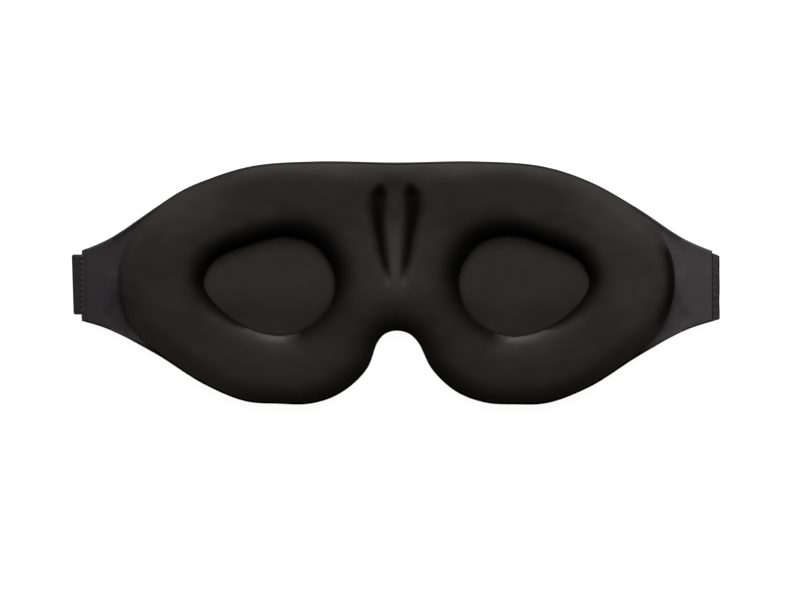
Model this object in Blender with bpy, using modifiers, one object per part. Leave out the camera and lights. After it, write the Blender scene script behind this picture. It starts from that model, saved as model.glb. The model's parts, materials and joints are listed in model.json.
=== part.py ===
"""Contoured sleep eye mask with a two-part elastic strap, lying on its outer side, face side up.

Metres. +X runs along the mask to its right end, +Y to the brow edge and +Z to the face side.
The origin is under the middle of the mask, on the surface that the tucked straps lie on.

Each half is a stack of layers, from the outside to the face: outer cover, blackout liner,
moulded foam, inner cover and the panel on the floor of the eye cup. The two halves meet at
the nose bridge, where the mask folds. A thin wing carries the strap from each half's end.
Each strap is folded in two and tucked flat behind its own half.
"""

import math

import bmesh
import bpy
import numpy as np
from mathutils import Vector

MM = 0.001

# One half's outline in millimetres, from the centre line out to the end of the wing.
BROW_EDGE = ((0, 44.4), (30, 44.8), (54, 43.0), (71.5, 37.4), (89, 27.7), (107, 16.0), (120, 10.5))
CHEEK_EDGE = (
    (0, -17.3), (4.6, -18.7), (8.1, -22.2), (13.2, -32.0), (22.2, -40.3), (33, -44.3),
    (44, -44.8), (56, -44.0), (71.4, -37.7), (89.2, -26.5), (107, -17.3), (120, -13.3),
)
# The crescent where the pad ends over the wing, and the floor of the eye cup: blunt at the nose.
TEMPLE_EDGE = ((98.6, 17.0), (102.2, 9.5), (103.1, 0.8), (101.8, -9.0), (98.4, -16.0))
EYE_CUP_EDGE = (
    (22.7, -0.4), (24.7, 7.2), (31.2, 14.8), (41.4, 17.4), (55.8, 14.0), (67.2, 8.7),
    (71.6, 0.4), (69.0, -6.0), (57.7, -15.5), (43.2, -19.8), (31.2, -15.9), (24.7, -9.5),
)
EYE_CENTRE = np.array((46.0, -1.0))
TEMPLE_BLEND_X = 92.0

# Heights above the surface and layer thicknesses, in millimetres.
GAP = 0.3
COVER = 0.6
LINER = 0.4
CUP_PANEL = 1.0
FLANGE_LOW = 8.0
FLANGE_TOP = FLANGE_LOW + COVER + GAP + COVER
PAD_CREST = 20.0
DOME = 3.7
SHOULDER = 14.0
DOME_REACH = 26.0
MOST_SLOPE_FACTOR = 3.0

# The cup wall's width in plan: wide under the brow and at the nose, narrow at the temple.
WALL_MEAN = 5.0
WALL_SWING = 1.5
WALL_WIDE_TOWARDS = math.radians(125)

# The nose bridge is lower than the pads, and the outer side is shallower along the centre line.
BRIDGE_DIP = 0.22
BRIDGE_DIP_Y = -15.0
BRIDGE_DIP_SPREAD = (13.0, 17.0)
VALLEY = 0.35
VALLEY_SPREAD = 10.0

# Edges in plan, in millimetres.
HALF_GAP = 0.3
SEAM_RADIUS = 0.6
COVER_INSET = 2 * SEAM_RADIUS + GAP
PAD_INSET = COVER_INSET + 0.6
FOAM_INSET = 1.5
CUP_PANEL_INSET = 0.4
WING_FOLD_X = 104.15
COVER_END_X = WING_FOLD_X - 0.15
WING_START_X = WING_FOLD_X + 0.15

# Where each wing's cloth stops and its hem begins and ends.
WING_END = {"right": (116.5, 116.8, 120.0), "left": (114.9, 115.2, 116.9)}

# Strap: 22.4 mm elastic, sewn under the wing and folded back behind the mask, then back again.
STRAP_WIDTH = 22.4
STRAP_Y = -0.75
STRAP = 1.2
PATCH = 1.0
PATCH_WIDTH = 20.0
ANCHOR_START_X = 106.5
ANCHOR_LOW = 6.3
INNER_RUN_LOW = 2.8
SWING_X = 117.65
SWING_Z = (ANCHOR_LOW + STRAP + INNER_RUN_LOW) / 2
UNFOLD_X = 8.0
TIP_X = 105.0
OUTER_RUN_LOW = {"right": 1.3, "left": 0.0}
PATCH_LOW = {"right": 0.0, "left": 1.5}
PATCH_SPAN = {"right": (35.0, 103.0), "left": (57.0, 102.0)}
PATCH_KIND = {"right": "loop", "left": "hook"}
STRAP_ROUNDING = 0.25

# The bridge fold's axis, just over the highest point of the bridge.
BRIDGE_AXIS_Z = 20.3

# The layers' rings in plan: distances out from the cup's edge, then in from the foam's edge.
WALL_RINGS = {"wall_low": 1.0, "wall_mid": 3.2, "wall_top": 6.5}
CREST_SHARE = 0.5
CREST_LEAN = 0.5
SHOULDER_RING = 5.0

# Samples along each stretch of the half's outline: brow, temple, cheek and centre line.
BROW_STEPS = 9
TEMPLE_STEPS = 3
CHEEK_STEPS = 17
CENTRE_STEPS = 5
WING_STEPS = 3
SMOOTH_STEPS = 14
REACH_STEPS = 900
SLOPE_STEP = 0.05
SHARP_ANGLE = math.radians(40)
AXIS_MARK = 0.01
TINY = 1e-9

COLLECTION = "sleep_eye_mask"

BLACK_JERSEY = ((0.020, 0.019, 0.019), 0.85)
CUP_JERSEY = ((0.024, 0.023, 0.022), 0.88)
BLACK_FOAM = ((0.030, 0.030, 0.031), 0.95)
BLACKOUT_FILM = ((0.010, 0.010, 0.011), 0.60)
OUTER_CLOTH = ((0.016, 0.016, 0.017), 0.80)
WING_CLOTH = ((0.030, 0.028, 0.028), 0.82)
SEAM_THREAD = ((0.012, 0.012, 0.012), 0.70)
HEM_TAPE = ((0.014, 0.014, 0.014), 0.75)
ELASTIC = ((0.022, 0.022, 0.023), 0.78)
HOOK = ((0.028, 0.028, 0.029), 0.65)
LOOP = ((0.020, 0.020, 0.020), 0.97)
PATCH_LOOK = {"right": LOOP, "left": HOOK}


def smooth_curve(points, closed=False, steps=SMOOTH_STEPS):
    """Points along a centripetal Catmull-Rom curve through the given points."""
    p = [np.array(q, float) for q in points]
    if closed:
        p = [p[-1]] + p + [p[0], p[1]]
    else:
        p = [2 * p[0] - p[1]] + p + [2 * p[-1] - p[-2]]
    found = []
    for a, b, c, d in zip(p, p[1:], p[2:], p[3:]):
        knots = [0.0]
        for u, v in ((a, b), (b, c), (c, d)):
            knots.append(knots[-1] + math.sqrt(np.linalg.norm(v - u)))
        k0, k1, k2, k3 = knots
        for t in np.linspace(k1, k2, steps, endpoint=False):
            ab = ((k1 - t) * a + (t - k0) * b) / (k1 - k0)
            bc = ((k2 - t) * b + (t - k1) * c) / (k2 - k1)
            cd = ((k3 - t) * c + (t - k2) * d) / (k3 - k2)
            abc = ((k2 - t) * ab + (t - k0) * bc) / (k2 - k0)
            bcd = ((k3 - t) * bc + (t - k1) * cd) / (k3 - k1)
            found.append(((k2 - t) * abc + (t - k1) * bcd) / (k2 - k1))
    if not closed:
        found.append(p[-2])
    return np.array(found)


def half_edge(points):
    """A smooth edge from the centre line outwards, square to the centre line where it starts."""
    mirrored = (-points[1][0], points[1][1])
    curve = smooth_curve((mirrored,) + tuple(points))
    return curve[curve[:, 0] >= -TINY]


def resample(curve, count):
    """count + 1 points, evenly spaced along a curve."""
    along = np.concatenate([[0.0], np.cumsum(np.linalg.norm(np.diff(curve, axis=0), axis=1))])
    wanted = np.linspace(0.0, along[-1], count + 1)
    return np.column_stack([np.interp(wanted, along, curve[:, k]) for k in (0, 1)])


def shifted(curve, distance):
    """The curve moved sideways, to its left for a positive distance."""
    run = np.gradient(curve, axis=0)
    run /= np.linalg.norm(run, axis=1)[:, None]
    return curve + distance * np.column_stack([-run[:, 1], run[:, 0]])


def up_to(curve, x):
    """The part of an outward-running edge that lies between the centre gap and x."""
    ends = [(e, np.interp(e, curve[:, 0], curve[:, 1])) for e in (HALF_GAP, x)]
    inside = curve[(curve[:, 0] > HALF_GAP) & (curve[:, 0] < x)]
    return np.vstack([ends[0], inside, ends[1]])


BROW = half_edge(BROW_EDGE)
CHEEK = half_edge(CHEEK_EDGE)
EYE_CUP = smooth_curve(EYE_CUP_EDGE, closed=True)


def pad_edge(inset):
    """The open line where the pad ends: along the brow, round the temple and back along the cheek."""
    brow = up_to(shifted(BROW, -inset), TEMPLE_BLEND_X)
    cheek = up_to(shifted(CHEEK, inset), TEMPLE_BLEND_X)[::-1]
    temple = np.array(TEMPLE_EDGE) - (inset - PAD_INSET, 0.0)
    bend = smooth_curve(np.vstack([brow[-2:], temple, cheek[:2]]))
    return np.vstack([brow[:-2], bend, cheek[2:]])


def cover_edge(inset):
    """The open line where the covers end: along the brow, straight down by the wing, and back."""
    brow = up_to(shifted(BROW, -inset), COVER_END_X)
    cheek = up_to(shifted(CHEEK, inset), COVER_END_X)[::-1]
    return np.vstack([brow, cheek])


def distance_to(curve, points):
    """Each point's distance to a polyline."""
    a = curve[:-1]
    run = curve[1:] - a
    size = np.maximum((run**2).sum(axis=1), TINY)
    rel = points[:, None, :] - a[None, :, :]
    along = np.clip((rel * run).sum(axis=2) / size, 0.0, 1.0)
    return np.linalg.norm(rel - along[..., None] * run, axis=2).min(axis=1)


def rounded(distance, reach):
    """A quarter of an ellipse: 0 at no distance, rising steeply and level with 1 at reach."""
    u = np.clip(distance / reach, 0.0, 1.0)
    return np.sqrt(1.0 - (1.0 - u) ** 2)


def polar(points):
    """Angle and radius of points about the middle of the eye cup."""
    rel = points - EYE_CENTRE
    return np.arctan2(rel[:, 1], rel[:, 0]), np.linalg.norm(rel, axis=1)


def reach(closed_line, angles):
    """How far a closed line lies from the middle of the eye cup at each angle."""
    fine = resample(np.vstack([closed_line, closed_line[:1]]), REACH_STEPS)[:-1]
    angle, radius = polar(fine)
    order = np.argsort(angle)
    return np.interp(angles, angle[order], radius[order], period=2 * math.pi)


PAD_FOOT = pad_edge(PAD_INSET)
EYE_CUP_LOOP = np.vstack([EYE_CUP, EYE_CUP[:1]])


def pad_top(points):
    """Height of the face side over plan points from the cup's edge outwards."""
    angle, radius = polar(points)
    wall = WALL_MEAN + WALL_SWING * np.cos(angle - WALL_WIDE_TOWARDS)
    outside_cup = np.maximum(radius - reach(EYE_CUP, angle), 0.0)
    from_cup = np.minimum(distance_to(EYE_CUP_LOOP, points), outside_cup)
    inside_pad = radius < reach(PAD_FOOT, angle)
    from_foot = np.where(inside_pad, distance_to(PAD_FOOT, points), 0.0)
    spread_x, spread_y = BRIDGE_DIP_SPREAD
    off_bridge = (points[:, 0] / spread_x) ** 2 + ((points[:, 1] - BRIDGE_DIP_Y) / spread_y) ** 2
    dip = 1.0 - BRIDGE_DIP * np.exp(-off_bridge)
    rise = rounded(from_foot, SHOULDER) * rounded(from_cup, wall) * dip
    return FLANGE_TOP + (PAD_CREST - FLANGE_TOP) * rise


def dome_low(points):
    """Height of the outer side, which bulges down towards the surface below."""
    angle, radius = polar(points)
    inside_pad = radius < reach(PAD_FOOT, angle)
    from_foot = np.where(inside_pad, distance_to(PAD_FOOT, points), 0.0)
    shallow = 1.0 - VALLEY * np.exp(-((points[:, 0] / VALLEY_SPREAD) ** 2))
    return FLANGE_LOW - DOME * rounded(from_foot, DOME_REACH) * shallow


def foam_line():
    """The open line where the foam ends, just inside the pad's foot."""
    line = shifted(PAD_FOOT, -FOAM_INSET)
    line[:, 0] = np.maximum(line[:, 0], HALF_GAP)
    return line


def slope_factor(points):
    """How much a layer's upright thickness grows on a steep wall, so that it stays as thick."""
    slopes = []
    for step in ((SLOPE_STEP, 0), (0, SLOPE_STEP)):
        rise = pad_top(points + step) - pad_top(points - step)
        slopes.append(rise / (2 * SLOPE_STEP))
    return np.minimum(np.sqrt(1 + slopes[0] ** 2 + slopes[1] ** 2), MOST_SLOPE_FACTOR)


def brow_stations():
    """Points along the covers' brow edge, from the centre line out."""
    return resample(up_to(shifted(BROW, -COVER_INSET), COVER_END_X), BROW_STEPS)


def cheek_stations():
    """Points along the covers' cheek edge, from the nose out."""
    return resample(up_to(shifted(CHEEK, COVER_INSET), COVER_END_X), CHEEK_STEPS)


def outline_angles():
    """Directions from the middle of the eye cup to evenly spaced points on the half's outline."""
    brow = brow_stations()
    cheek = cheek_stations()
    temple = resample(np.vstack([brow[-1], cheek[-1]]), TEMPLE_STEPS)
    foam_edge = foam_line()
    centre = resample(np.vstack([foam_edge[-1], foam_edge[0]]), CENTRE_STEPS)
    return polar(np.vstack([brow, temple[1:-1], cheek[::-1], centre]))[0]


def at(angles, radii):
    """Plan points at these angles and distances from the middle of the eye cup."""
    return EYE_CENTRE + radii[:, None] * np.column_stack([np.cos(angles), np.sin(angles)])


def make_rings():
    """Named rings of plan points round the eye cup, from its edge out to the edge of the covers."""
    angles = outline_angles()
    cup = reach(EYE_CUP, angles)
    foam = reach(foam_line(), angles)
    foot = reach(PAD_FOOT, angles)
    cover = reach(cover_edge(COVER_INSET), angles)
    at_centre = cover - foot < GAP
    foot = np.where(at_centre, cover - GAP / 2, foot)
    foam = np.where(at_centre, cover - GAP, foam)
    radii = {
        "cup": cup,
        "crest": cup + CREST_SHARE * (foam - cup) + CREST_LEAN,
        "shoulder": foam - SHOULDER_RING,
        "foam": foam,
        "foot": foot,
        "cover": cover,
        "panel": cup - CUP_PANEL_INSET,
    }
    for name, outwards in WALL_RINGS.items():
        radii[name] = cup + outwards
    return {name: at(angles, r) for name, r in radii.items()}


def new_object(name, data):
    """An object in the mask's collection."""
    obj = bpy.data.objects.new(name, data)
    bpy.data.collections[COLLECTION].objects.link(obj)
    return obj


def paint(obj, look):
    """Give an object its own Principled material."""
    colour, roughness = look
    material = bpy.data.materials.new(obj.name)
    material.use_nodes = True
    shader = material.node_tree.nodes["Principled BSDF"]
    shader.inputs["Base Color"].default_value = (*colour, 1.0)
    shader.inputs["Roughness"].default_value = roughness
    shader.inputs["Metallic"].default_value = 0.0
    obj.data.materials.append(material)


def ring_loft(name, sign, rings, low, high, with_middle):
    """A layer lofted between unlike sections: rings round the eye cup, each with its own heights.

    low and high hold one array of heights for each ring. With a middle, the inmost ring is
    closed by a fan; without one, the layer is a band round the cup.
    """
    work = bmesh.new()
    sheets = []
    for heights in (low, high):
        sheet = []
        for ring, z in zip(rings, heights):
            places = np.column_stack([sign * ring[:, 0], ring[:, 1], z]) * MM
            sheet.append([work.verts.new(place) for place in places])
        sheets.append(sheet)
    count = len(rings[0])
    for sheet, heights in zip(sheets, (low, high)):
        for inner, outer in zip(sheet, sheet[1:]):
            for i in range(count):
                j = (i + 1) % count
                work.faces.new((inner[i], outer[i], outer[j]))
                work.faces.new((inner[i], outer[j], inner[j]))
        if with_middle:
            x, y = EYE_CENTRE
            middle = work.verts.new((sign * x * MM, y * MM, float(np.mean(heights[0])) * MM))
            for i in range(count):
                work.faces.new((middle, sheet[0][i], sheet[0][(i + 1) % count]))
    bottom, top = sheets
    walls = [(bottom[-1], top[-1])]
    if not with_middle:
        walls.append((bottom[0], top[0]))
    for lower, upper in walls:
        for i in range(count):
            j = (i + 1) % count
            work.faces.new((lower[i], lower[j], upper[j]))
            work.faces.new((lower[i], upper[j], upper[i]))
    bmesh.ops.recalc_face_normals(work, faces=work.faces)
    mesh = bpy.data.meshes.new(name)
    work.to_mesh(mesh)
    work.free()
    mesh.shade_smooth()
    mesh.set_sharp_from_angle(angle=SHARP_ANGLE)
    return new_object(name, mesh)


def flat_sheet(name, sign, outline, low, high):
    """A flat piece of cloth or tape: a filled outline with an even thickness."""
    curve = bpy.data.curves.new(name, "CURVE")
    curve.dimensions = "2D"
    curve.fill_mode = "BOTH"
    curve.extrude = (high - low) / 2 * MM
    spline = curve.splines.new("POLY")
    spline.points.add(len(outline) - 1)
    for point, (x, y) in zip(spline.points, outline):
        point.co = (sign * x * MM, y * MM, 0.0, 1.0)
    spline.use_cyclic_u = True
    obj = new_object(name, curve)
    obj.location.z = (low + high) / 2 * MM
    return obj


def tube(name, sign, path, z, radius):
    """A round seam along an edge."""
    curve = bpy.data.curves.new(name, "CURVE")
    curve.dimensions = "3D"
    curve.bevel_depth = radius * MM
    curve.bevel_resolution = 1
    curve.use_fill_caps = True
    spline = curve.splines.new("POLY")
    spline.points.add(len(path) - 1)
    for point, (x, y) in zip(spline.points, path):
        point.co = (sign * x * MM, y * MM, z * MM, 1.0)
    return new_object(name, curve)


def band(name, sign, span, width, low, thickness):
    """A flat stretch of strap or tape along the strap's middle line, with softened edges."""
    start, end = span
    bpy.ops.mesh.primitive_cube_add(size=1.0)
    obj = bpy.context.active_object
    for holder in obj.users_collection:
        holder.objects.unlink(obj)
    bpy.data.collections[COLLECTION].objects.link(obj)
    obj.name = name
    obj.data.name = name
    size = ((end - start) * MM, width * MM, thickness * MM)
    for vertex in obj.data.vertices:
        vertex.co = [c * s for c, s in zip(vertex.co, size)]
    middle = (sign * (start + end) / 2, STRAP_Y, low + thickness / 2)
    obj.location = [c * MM for c in middle]
    edges = obj.modifiers.new("soft_edges", "BEVEL")
    edges.width = STRAP_ROUNDING * MM
    edges.segments = 1
    return obj


def wing_outline(x_from, x_to):
    """The outline in plan of a stretch of the wing between two distances from the centre line."""
    xs = np.linspace(x_from, x_to, WING_STEPS + 1)
    brow = [(x, float(np.interp(x, BROW[:, 0], BROW[:, 1]))) for x in xs]
    cheek = [(x, float(np.interp(x, CHEEK[:, 0], CHEEK[:, 1]))) for x in xs]
    return brow + cheek[::-1]


def seam_path(stations, outward):
    """The middle line of a seam that runs beside an edge of the covers."""
    path = shifted(stations, outward * (COVER_INSET - SEAM_RADIUS))
    path[0, 0] = HALF_GAP
    last_run = path[-1] - path[-2]
    path[-1] -= last_run * SEAM_RADIUS / np.linalg.norm(last_run)
    return path


def place_of(obj):
    """An object's place in the world, where nothing above it is turned or scaled."""
    place = Vector()
    while obj is not None:
        place += obj.location
        obj = obj.parent
    return place


def pivot(name, x, z, parent):
    """An empty on a joint's axis, which runs along Y."""
    empty = new_object(name, None)
    empty.empty_display_size = AXIS_MARK
    empty.location = Vector((x * MM, 0.0, z * MM)) - place_of(parent)
    empty.parent = parent
    return empty


def build_half(side, sign, rings):
    """The layers and edge seams of one half of the mask."""
    plan = [rings[n] for n in ("cup", "wall_low", "wall_mid", "wall_top", "crest", "shoulder")]
    foam_rings = plan + [rings["foam"]]
    inner_rings = foam_rings + [rings["foot"], rings["cover"]]
    broad = [rings[n] for n in ("cup", "wall_top", "crest", "shoulder")]
    liner_rings = broad + [rings["foam"]]
    outer_rings = liner_rings + [rings["foot"], rings["cover"]]
    cup_floor = np.full(len(rings["cup"]), FLANGE_TOP)

    face = [pad_top(r) for r in inner_rings]
    face[0] = cup_floor
    lowest = FLANGE_TOP - COVER
    under_face = [np.maximum(f - COVER * slope_factor(r), lowest) for f, r in zip(face, inner_rings)]
    under_liner = [dome_low(r) + COVER + GAP for r in liner_rings]
    under_foam = [dome_low(r) + COVER + LINER + 2 * GAP for r in foam_rings]
    over_foam = [pad_top(r) - (COVER + GAP) * slope_factor(r) for r in foam_rings]
    over_foam[0] = cup_floor - CUP_PANEL - GAP
    outer = [dome_low(r) for r in outer_rings]

    over_liner = [u + LINER for u in under_liner]
    over_outer = [o + COVER for o in outer]
    panel_low = [cup_floor - CUP_PANEL]

    pieces = {
        "inner_cover": (inner_rings, under_face, face, False, BLACK_JERSEY),
        "foam_core": (foam_rings, under_foam, over_foam, True, BLACK_FOAM),
        "blackout_liner": (liner_rings, under_liner, over_liner, True, BLACKOUT_FILM),
        "outer_cover": (outer_rings, outer, over_outer, True, OUTER_CLOTH),
        "eye_cup_panel": ([rings["panel"]], panel_low, [cup_floor], True, CUP_JERSEY),
    }
    made = []
    for kind, (plan_rings, low, high, with_middle, look) in pieces.items():
        obj = ring_loft(f"{side}_{kind}", sign, plan_rings, low, high, with_middle)
        paint(obj, look)
        made.append(obj)
    edges = {"brow": seam_path(brow_stations(), 1), "cheek": seam_path(cheek_stations(), -1)}
    seam_z = (FLANGE_LOW + FLANGE_TOP) / 2
    for kind, path in edges.items():
        obj = tube(f"{side}_{kind}_edge_seam", sign, path, seam_z, SEAM_RADIUS)
        paint(obj, SEAM_THREAD)
        made.append(obj)
    return made


def build_wing(side, sign):
    """Two cloth layers, the hem across their end and the strap's sewn-on end."""
    cloth_end, hem_start, hem_end = WING_END[side]
    cloth = wing_outline(WING_START_X, cloth_end)
    end = wing_outline(hem_start, hem_end)
    face = flat_sheet(f"{side}_wing_face_layer", sign, cloth, FLANGE_TOP - COVER, FLANGE_TOP)
    paint(face, WING_CLOTH)
    back = flat_sheet(f"{side}_wing_back_layer", sign, cloth, FLANGE_LOW, FLANGE_LOW + COVER)
    paint(back, WING_CLOTH)
    hem = flat_sheet(f"{side}_wing_end_hem", sign, end, FLANGE_LOW, FLANGE_TOP)
    paint(hem, HEM_TAPE)
    span = (ANCHOR_START_X, SWING_X)
    anchor = band(f"{side}_strap_anchor", sign, span, STRAP_WIDTH, ANCHOR_LOW, STRAP)
    paint(anchor, ELASTIC)
    return [face, back, hem, anchor]


def build_strap_root(side, sign):
    """The strap's run from the wing's end back behind the mask."""
    span = (UNFOLD_X, SWING_X)
    run = band(f"{side}_strap_inner_run", sign, span, STRAP_WIDTH, INNER_RUN_LOW, STRAP)
    paint(run, ELASTIC)
    return [run]


def build_strap_tip(side, sign):
    """The strap's outer run with its half of the hook-and-loop closure."""
    span = (UNFOLD_X, TIP_X)
    run = band(f"{side}_strap_outer_run", sign, span, STRAP_WIDTH, OUTER_RUN_LOW[side], STRAP)
    paint(run, ELASTIC)
    name = f"{side}_{PATCH_KIND[side]}_patch"
    patch = band(name, sign, PATCH_SPAN[side], PATCH_WIDTH, PATCH_LOW[side], PATCH)
    paint(patch, PATCH_LOOK[side])
    return [run, patch]


def unfold_z(side):
    """Height of the axis that the strap's outer run unfolds about."""
    return (OUTER_RUN_LOW[side] + INNER_RUN_LOW + STRAP) / 2


def build_side(side, sign, rings, root):
    """One half with its wing and strap, hung on empties at the joints' axes."""
    wing = pivot(f"{side}_wing_flex_axis", sign * WING_FOLD_X, FLANGE_TOP, root)
    swing = pivot(f"{side}_strap_swing_axis", sign * SWING_X, SWING_Z, wing)
    unfold = pivot(f"{side}_strap_unfold_axis", sign * UNFOLD_X, unfold_z(side), swing)
    groups = (
        (root, build_half(side, sign, rings)),
        (wing, build_wing(side, sign)),
        (swing, build_strap_root(side, sign)),
        (unfold, build_strap_tip(side, sign)),
    )
    for parent, pieces in groups:
        for obj in pieces:
            obj.location -= place_of(parent)
            obj.parent = parent


def main():
    for obj in list(bpy.data.objects):
        bpy.data.objects.remove(obj)
    collection = bpy.data.collections.new(COLLECTION)
    bpy.context.scene.collection.children.link(collection)
    rings = make_rings()
    right = pivot("right_half_origin", 0.0, 0.0, None)
    left = pivot("bridge_fold_axis", 0.0, BRIDGE_AXIS_Z, right)
    build_side("right", 1, rings, right)
    build_side("left", -1, rings, left)


main()
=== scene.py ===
"""The looks of a contoured sleep eye mask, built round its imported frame.

The scene is in metres. The mask lies on its outer side with its face side up: +X runs along it,
+Y is the brow and +Z comes out of the face side. Plan shapes and heights are worked out in
millimetres and scaled when a mesh is made.
"""

import json
import math

import bmesh
import bpy
import numpy as np
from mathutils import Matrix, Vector


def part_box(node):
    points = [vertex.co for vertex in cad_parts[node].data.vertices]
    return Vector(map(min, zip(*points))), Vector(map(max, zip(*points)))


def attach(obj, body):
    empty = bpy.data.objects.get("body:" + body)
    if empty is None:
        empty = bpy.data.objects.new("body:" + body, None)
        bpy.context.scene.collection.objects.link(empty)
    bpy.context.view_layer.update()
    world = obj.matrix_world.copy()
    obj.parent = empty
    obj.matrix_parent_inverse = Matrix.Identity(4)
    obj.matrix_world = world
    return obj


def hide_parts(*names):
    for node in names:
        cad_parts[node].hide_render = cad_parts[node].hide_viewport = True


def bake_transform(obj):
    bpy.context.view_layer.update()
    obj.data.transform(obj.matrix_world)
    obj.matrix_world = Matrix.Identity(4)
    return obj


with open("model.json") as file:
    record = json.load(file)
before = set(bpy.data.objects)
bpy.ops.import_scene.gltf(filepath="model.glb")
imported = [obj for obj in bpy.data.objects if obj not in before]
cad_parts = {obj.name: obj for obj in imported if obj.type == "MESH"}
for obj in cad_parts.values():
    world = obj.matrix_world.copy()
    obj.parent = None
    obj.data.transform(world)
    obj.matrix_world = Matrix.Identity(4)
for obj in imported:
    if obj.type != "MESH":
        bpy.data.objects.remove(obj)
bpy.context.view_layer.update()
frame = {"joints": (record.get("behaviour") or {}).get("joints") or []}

MM = 0.001
SIGN = {"right": 1, "left": -1}
MIRROR = {"right": np.array((1, 1, 1)), "left": np.array((-1, 1, 1))}


def low_corner(node):
    """A CAD node's lowest corner in millimetres."""
    return np.array(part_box(node)[0]) / MM


def high_corner(node):
    """A CAD node's highest corner in millimetres."""
    return np.array(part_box(node)[1]) / MM


def span_out(node):
    """How far from the centre line a CAD node starts and ends, in millimetres."""
    ends = abs(low_corner(node)[0]), abs(high_corner(node)[0])
    return min(ends), max(ends)


def axis_of(joint):
    """Where a joint's axis lies, in millimetres."""
    found = next(j for j in frame["joints"] if j["name"] == joint)
    return np.array(found["pos_m"]) / MM


# One half's outline in millimetres, from the centre line out to the end of the wing.
BROW_EDGE = ((0, 44.4), (30, 44.8), (54, 43.0), (71.5, 37.4), (89, 27.7), (107, 16.0), (120, 10.5))
CHEEK_EDGE = (
    (0, -17.8), (4.6, -18.9), (8.1, -22.2), (13.2, -32.0), (22.2, -40.3), (33, -44.3),
    (44, -44.8), (56, -44.0), (71.4, -37.7), (89.2, -26.5), (107, -17.3), (120, -13.3),
)
EYE_CUP_EDGE = (
    (22.7, -0.4), (24.7, 7.2), (31.2, 14.8), (41.4, 17.4), (55.8, 14.0), (67.2, 8.7),
    (71.6, 0.4), (69.0, -6.0), (57.7, -15.5), (43.2, -19.8), (31.2, -15.9), (24.7, -9.5),
)
EYE_CENTRE = np.array((46.0, -1.0))
# The pad ends over the wing in a round edge about this centre.
TEMPLE_CENTRE = np.array((73.2, 0.8))
TEMPLE_RADIUS = 30.0

# Heights in millimetres, from the frame.
FLANGE_TOP = high_corner("right_wing_face_layer")[2]
FLANGE_LOW = low_corner("right_wing_back_layer")[2]
PAD_CREST = high_corner("right_inner_cover")[2]
FLANGE_MIDDLE = (FLANGE_LOW + FLANGE_TOP) / 2

# The outer side bulges by DOME within DOME_REACH of its edge, less by a share over the bridge.
DOME = FLANGE_LOW - low_corner("right_outer_cover")[2]
DOME_REACH = 26.0
VALLEY = 0.55
VALLEY_SPREAD = 18.0

# The pad's foot is this far inside the edge. From there it goes on rising for so far, with a
# shoulder as square as the second number says.
FOOT_INSET = 0.8
SHOULDER = {"brow": (8.5, 3.6), "cheek": (10.0, 3.2), "temple": (12.0, 2.4)}
SHOULDER_AT_BRIDGE = 5.5
TEMPLE_SPREAD = math.radians(35)
BROW_TO_CHEEK = 12.0

# The cup's wall: how far out it goes on rising and how square its top is, on each side.
WALL = {"temple": (8.5, 2.6), "brow": (9.0, 3.0), "nose": (10.0, 2.2), "cheek": (8.5, 4.5)}
WALL_TOWARDS = {"temple": 0.0, "brow": 0.5, "nose": 1.0, "cheek": -0.5}

# How far from the cup's edge the painted shade on the cup's walls reaches, in degrees round the cup
# from the temple, and how dark the painted shade gets anywhere.
WALL_PAINTED_SHADE = (
    (-180, 6.6), (-140, 7.2), (-122, 6.0), (-110, 3.0), (-102, 0.4), (-90, 0.05), (-62, 0.05),
    (-50, 1.6), (-30, 3.0), (-10, 5.6), (10, 5.4), (45, 5.2), (90, 5.8), (135, 9.0), (165, 6.8),
    (180, 6.6),
)
DARKEST_PAINTED_SHADE = 0.86

# Painted shade: how dark the rims are, and the crease of the cup's floor at the nose; and how much
# darker the cup's floor is towards the cheek.
TEMPLE_RIM_DARKER = {"right": 1.3, "left": 0.4}
CHEEK_RIM_DARKER = {"far": 0.4, "nose": 0.5}
BROW_RIM_DARKER = {"right": 0.15, "left": 0.4}
FLOOR_DARKER = {"cheek": 0.28, "crease": 0.3}

# Painted highlights: how much lighter the knit is at the lip of the cup by degrees round the cup,
# in the band below the lip, on the nose, at the right end, along the brow and at the ends of the
# cheek side.
LIP_PAINTED_HIGHLIGHT = (
    (-180, 0.0), (-122, 0.0), (-110, 0.9), (-102, 1.3), (-86, 1.15), (-68, 0.4), (-56, 0.1),
    (-46, 0.0), (180, 0.0),
)
PAINTED_HIGHLIGHT_BELOW_LIP = 0.42
NOSE_PAINTED_HIGHLIGHT = 0.4
RIGHT_END_LIGHTER = 0.35
BROW_END_LIGHTER = 0.45
BROW_MIDDLE_LIGHTER = 0.25
CHEEK_END_LIGHTER = {"right": 0.75, "left": 1.2}
CHEEK_END_FROM = {"right": 62.0, "left": 48.0}

# The saddle over the bridge: low behind the brow edge, rising towards the nose.
BRIDGE_WIDTH = 15.0
SADDLE_LOW = 15.0
SADDLE_HIGH = 20.6
SADDLE_FROM = 24.0
SADDLE_TO = -8.0
BROW_RISE = 1.0
BROW_RISE_FROM = 33.0

# The grooves: their depth, the length of their lower and upper ends, and how much wider they are
# on the side away from the middle.
GROOVE_DEPTH = 6.5
GROOVE_ENDS = (9.0, 5.0)
GROOVE_OUTER = 1.1
# A groove's line: height on the face, distance from the centre line and half its width.
GROOVE_LINE = (
    (-2.0, 2.6, 0.8), (3.0, 3.3, 1.1), (9.0, 4.5, 1.5), (15.0, 5.4, 1.8), (21.0, 6.2, 2.1),
    (27.0, 6.5, 2.3), (31.5, 6.0, 2.0), (34.0, 5.6, 1.5), (36.6, 5.2, 0.9),
)

# Lumps in the foam: height, length and random seed.
LUMPS = ((0.10, 26.0, 3), (0.04, 9.0, 5))

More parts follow.
